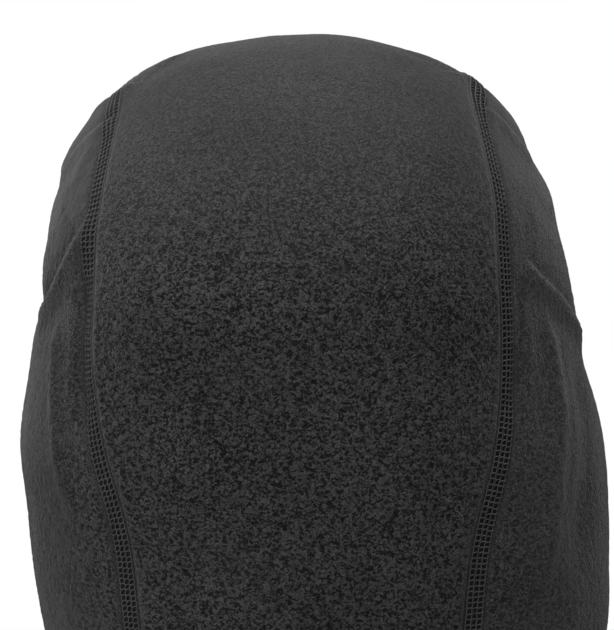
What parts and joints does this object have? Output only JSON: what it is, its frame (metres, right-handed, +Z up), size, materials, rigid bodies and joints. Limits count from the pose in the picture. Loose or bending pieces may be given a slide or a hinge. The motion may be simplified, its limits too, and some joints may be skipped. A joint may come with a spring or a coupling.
{
  "type": "balaclava",
  "caption": "Open-face fleece balaclava for snow sports: flat-seamed panels over head and neck, bound face opening and flared bound hem.",
  "frame": {"origin": "centre of the neck hem's underside, on the surface that the hem stands on", "axes": "+Z up through the crown; the face opening looks along -Y; +X is the wearer's left"},
  "size_m": [0.2028, 0.2048, 0.345],
  "materials": {
    "fleece": "napped knit fleece, dark charcoal",
    "stretch_binding": "matt knitted stretch tape",
    "thread": "textured polyester thread",
    "elastic": "braided elastic tape",
    "label_satin": "blank woven satin"
  },
  "bodies": {
    "root": {"centre_panel": "fleece", "left_side_panel": "fleece", "right_side_panel": "fleece", "chin_panel": "fleece", "left_back_seam_cover_thread": "thread", "left_back_seam_looper_thread": "thread", "right_back_seam_cover_thread": "thread", "right_back_seam_looper_thread": "thread", "left_chin_seam_cover_thread": "thread", "left_chin_seam_looper_thread": "thread", "right_chin_seam_cover_thread": "thread", "right_chin_seam_looper_thread": "thread", "face_binding": "stretch_binding", "face_elastic": "elastic", "face_binding_topstitch": "thread", "face_binding_understitch": "thread", "neck_binding": "stretch_binding", "neck_binding_topstitch": "thread", "neck_binding_understitch": "thread", "care_label": "label_satin", "label_tack_thread": "thread"}
  },
  "joints": []
}
